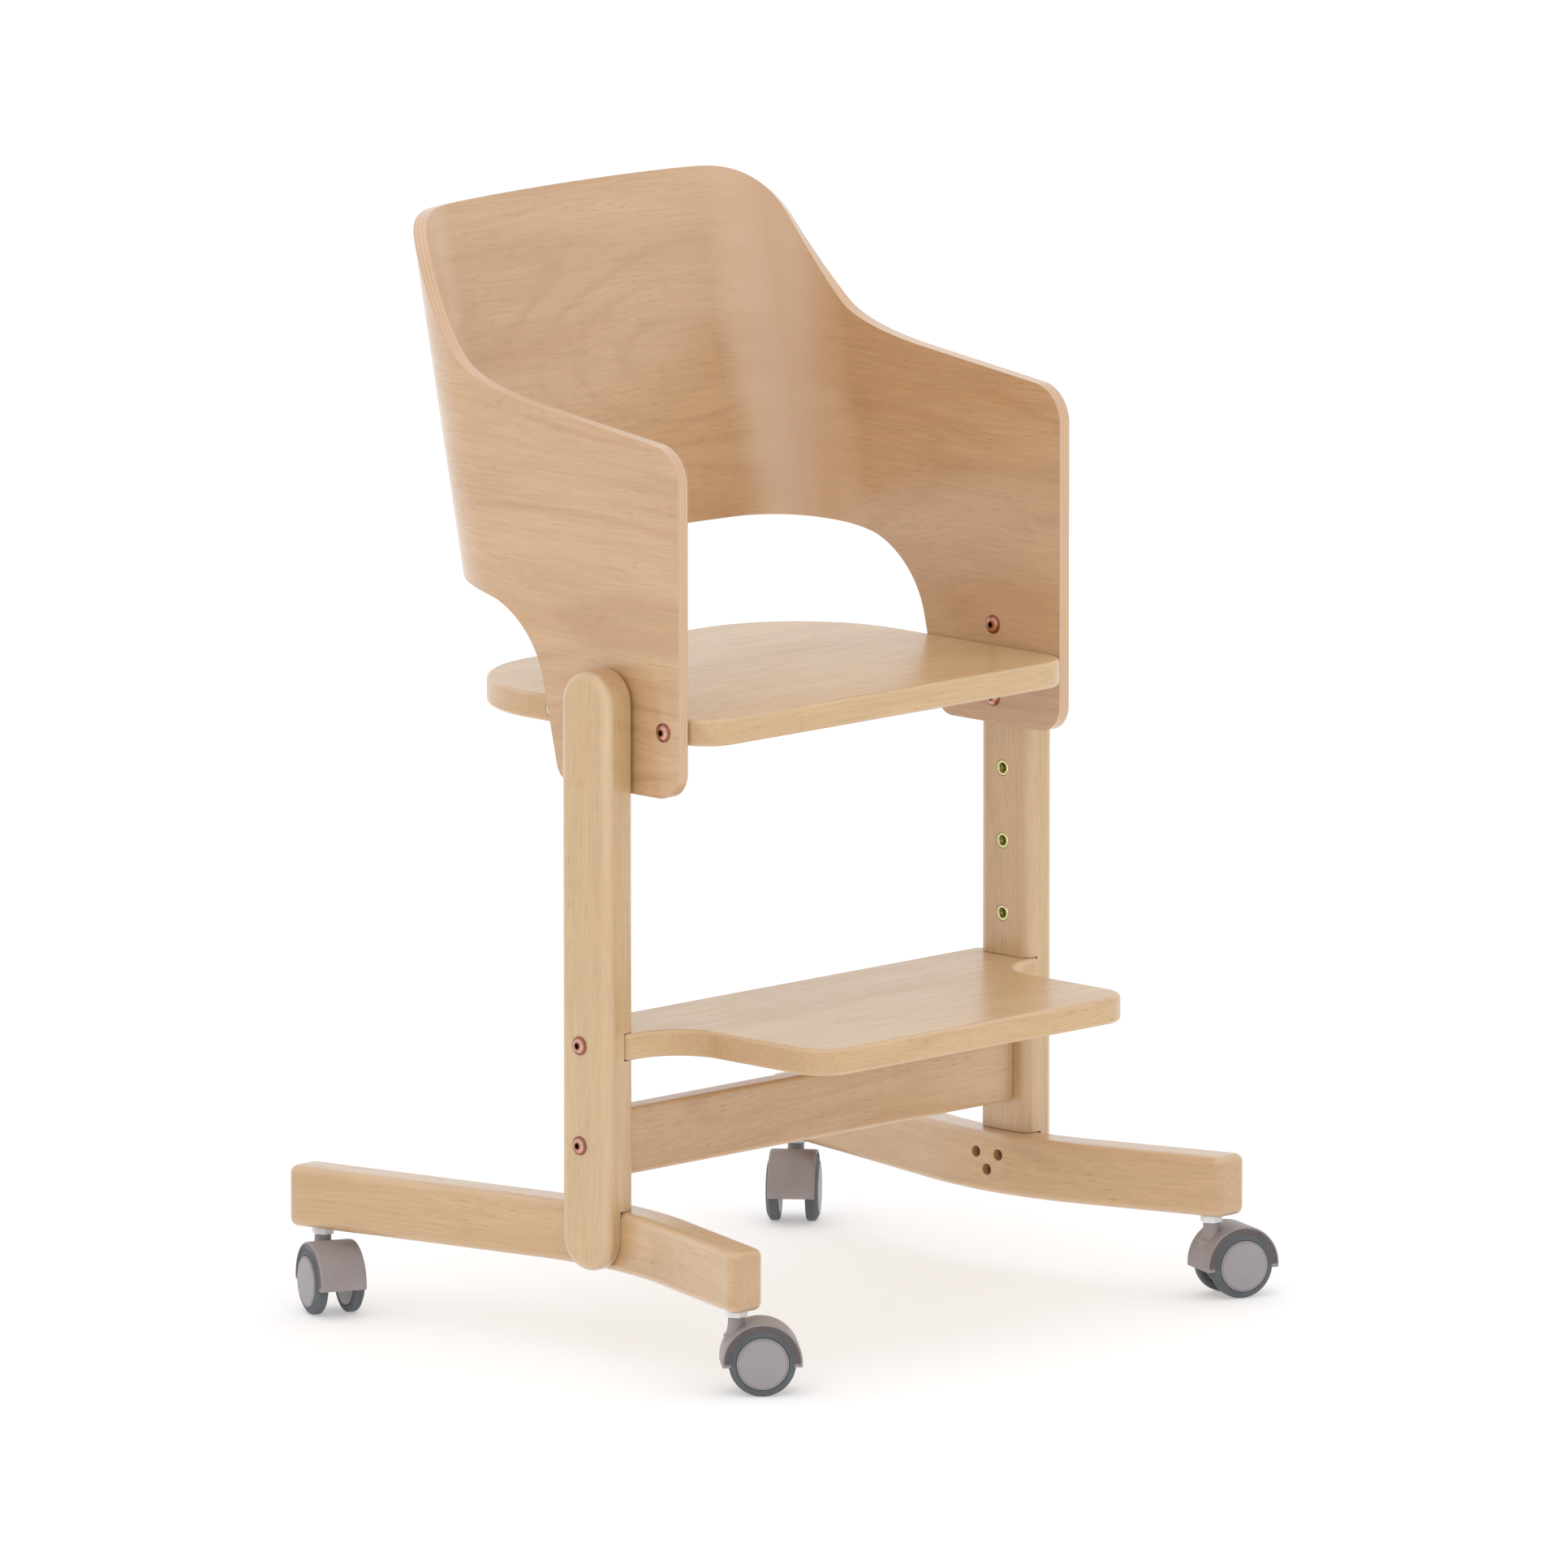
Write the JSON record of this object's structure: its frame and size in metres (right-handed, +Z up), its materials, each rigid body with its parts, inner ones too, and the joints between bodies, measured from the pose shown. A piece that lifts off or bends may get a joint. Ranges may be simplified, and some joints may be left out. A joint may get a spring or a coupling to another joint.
{
  "type": "baby high chair",
  "caption": "Wooden baby high chair: bent plywood seat shell and flat seat bolted between two posts, fixed footrest, splayed runners on swivelling twin-wheel casters.",
  "frame": {"origin": "on the floor under the middle of the bounding box; the chair's plane of symmetry is at x = -7.9 mm and its posts stand at y = -31.7 mm, because the turned casters make the box uneven", "axes": "+Z up, -Y the way the seated child faces, +X towards the child's left hand"},
  "size_m": [0.5847, 0.5019, 0.8209],
  "materials": {
    "shell_beech_ply": "semi-gloss lacquered beech veneer",
    "board_beech": "satin lacquered beech",
    "post_beech": "satin lacquered beech",
    "runner_beech": "satin lacquered beech",
    "crossbar_beech": "satin lacquered beech",
    "bolt_copper": "copper plated",
    "insert_brass": "yellow zinc",
    "collar_zinc": "zinc plated",
    "axle_steel": "bright",
    "hood_grey_plastic": "satin",
    "hub_grey_plastic": "satin",
    "tyre_grey_rubber": "matte"
  },
  "bodies": {
    "frame": {"backrest_shell": "shell_beech_ply", "seat_board": "board_beech", "footrest": "board_beech", "crossbar": "crossbar_beech", "post_left": "post_beech", "runner_left": "runner_beech", "shell_bolt_left_1": "bolt_copper", "shell_bolt_left_2": "bolt_copper", "seat_bolt_left_1": "bolt_copper", "seat_bolt_left_2": "bolt_copper", "footrest_bolt_left": "bolt_copper", "crossbar_bolt_left": "bolt_copper", "post_insert_left_1": "insert_brass", "post_insert_left_2": "insert_brass", "post_insert_left_3": "insert_brass", "post_insert_left_4": "insert_brass", "post_insert_left_5": "insert_brass", "seat_insert_left": "insert_brass", "post_right": "post_beech", "runner_right": "runner_beech", "shell_bolt_right_1": "bolt_copper", "shell_bolt_right_2": "bolt_copper", "seat_bolt_right_1": "bolt_copper", "seat_bolt_right_2": "bolt_copper", "footrest_bolt_right": "bolt_copper", "crossbar_bolt_right": "bolt_copper", "post_insert_right_1": "insert_brass", "post_insert_right_2": "insert_brass", "post_insert_right_3": "insert_brass", "post_insert_right_4": "insert_brass", "post_insert_right_5": "insert_brass", "seat_insert_right": "insert_brass", "caster_front_left_stem": "collar_zinc", "caster_front_right_stem": "collar_zinc", "caster_rear_left_stem": "collar_zinc", "caster_rear_right_stem": "collar_zinc"},
    "caster_front_left_swivel": {"caster_front_left_housing": "hood_grey_plastic", "caster_front_left_axle": "axle_steel"},
    "caster_front_left_wheel_a": {"caster_front_left_tyre_a": "tyre_grey_rubber", "caster_front_left_hub_a": "hub_grey_plastic"},
    "caster_front_left_wheel_b": {"caster_front_left_tyre_b": "tyre_grey_rubber", "caster_front_left_hub_b": "hub_grey_plastic"},
    "caster_front_right_swivel": {"caster_front_right_housing": "hood_grey_plastic", "caster_front_right_axle": "axle_steel"},
    "caster_front_right_wheel_a": {"caster_front_right_tyre_a": "tyre_grey_rubber", "caster_front_right_hub_a": "hub_grey_plastic"},
    "caster_front_right_wheel_b": {"caster_front_right_tyre_b": "tyre_grey_rubber", "caster_front_right_hub_b": "hub_grey_plastic"},
    "caster_rear_left_swivel": {"caster_rear_left_housing": "hood_grey_plastic", "caster_rear_left_axle": "axle_steel"},
    "caster_rear_left_wheel_a": {"caster_rear_left_tyre_a": "tyre_grey_rubber", "caster_rear_left_hub_a": "hub_grey_plastic"},
    "caster_rear_left_wheel_b": {"caster_rear_left_tyre_b": "tyre_grey_rubber", "caster_rear_left_hub_b": "hub_grey_plastic"},
    "caster_rear_right_swivel": {"caster_rear_right_housing": "hood_grey_plastic", "caster_rear_right_axle": "axle_steel"},
    "caster_rear_right_wheel_a": {"caster_rear_right_tyre_a": "tyre_grey_rubber", "caster_rear_right_hub_a": "hub_grey_plastic"},
    "caster_rear_right_wheel_b": {"caster_rear_right_tyre_b": "tyre_grey_rubber", "caster_rear_right_hub_b": "hub_grey_plastic"}
  },
  "joints": [
    {"name": "caster_front_left_swivel_hinge", "type": "hinge", "parent": "frame", "child": "caster_front_left_swivel", "pos_m": [0.2416, -0.2063, 0.05], "axis": [0, 0, 1], "continuous": true},
    {"name": "caster_front_left_wheel_a_spin", "type": "hinge", "parent": "caster_front_left_swivel", "child": "caster_front_left_wheel_a", "pos_m": [0.25851, -0.21246, 0.02469], "axis": [0.342, 0.9397, 0], "continuous": true},
    {"name": "caster_front_left_wheel_b_spin", "type": "hinge", "parent": "caster_front_left_swivel", "child": "caster_front_left_wheel_b", "pos_m": [0.25851, -0.21246, 0.02469], "axis": [0.342, 0.9397, 0], "continuous": true},
    {"name": "caster_front_right_swivel_hinge", "type": "hinge", "parent": "frame", "child": "caster_front_right_swivel", "pos_m": [-0.2574, -0.2063, 0.05], "axis": [0, 0, 1], "continuous": true},
    {"name": "caster_front_right_wheel_a_spin", "type": "hinge", "parent": "caster_front_right_swivel", "child": "caster_front_right_wheel_a", "pos_m": [-0.24382, -0.21811, 0.02469], "axis": [0.6561, 0.7547, 0], "continuous": true},
    {"name": "caster_front_right_wheel_b_spin", "type": "hinge", "parent": "caster_front_right_swivel", "child": "caster_front_right_wheel_b", "pos_m": [-0.24382, -0.21811, 0.02469], "axis": [0.6561, 0.7547, 0], "continuous": true},
    {"name": "caster_rear_left_swivel_hinge", "type": "hinge", "parent": "frame", "child": "caster_rear_left_swivel", "pos_m": [0.2406, 0.2298, 0.05], "axis": [0, 0, 1], "continuous": true},
    {"name": "caster_rear_left_wheel_a_spin", "type": "hinge", "parent": "caster_rear_left_swivel", "child": "caster_rear_left_wheel_a", "pos_m": [0.22681, 0.21823, 0.02469], "axis": [0.6428, -0.766, 0], "continuous": true},
    {"name": "caster_rear_left_wheel_b_spin", "type": "hinge", "parent": "caster_rear_left_swivel", "child": "caster_rear_left_wheel_b", "pos_m": [0.22681, 0.21823, 0.02469], "axis": [0.6428, -0.766, 0], "continuous": true},
    {"name": "caster_rear_right_swivel_hinge", "type": "hinge", "parent": "frame", "child": "caster_rear_right_swivel", "pos_m": [-0.2564, 0.2298, 0.05], "axis": [0, 0, 1], "continuous": true},
    {"name": "caster_rear_right_wheel_a_spin", "type": "hinge", "parent": "caster_rear_right_swivel", "child": "caster_rear_right_wheel_a", "pos_m": [-0.26386, 0.21342, 0.02469], "axis": [0.91, -0.4147, 0], "continuous": true},
    {"name": "caster_rear_right_wheel_b_spin", "type": "hinge", "parent": "caster_rear_right_swivel", "child": "caster_rear_right_wheel_b", "pos_m": [-0.26386, 0.21342, 0.02469], "axis": [0.91, -0.4147, 0], "continuous": true}
  ]
}
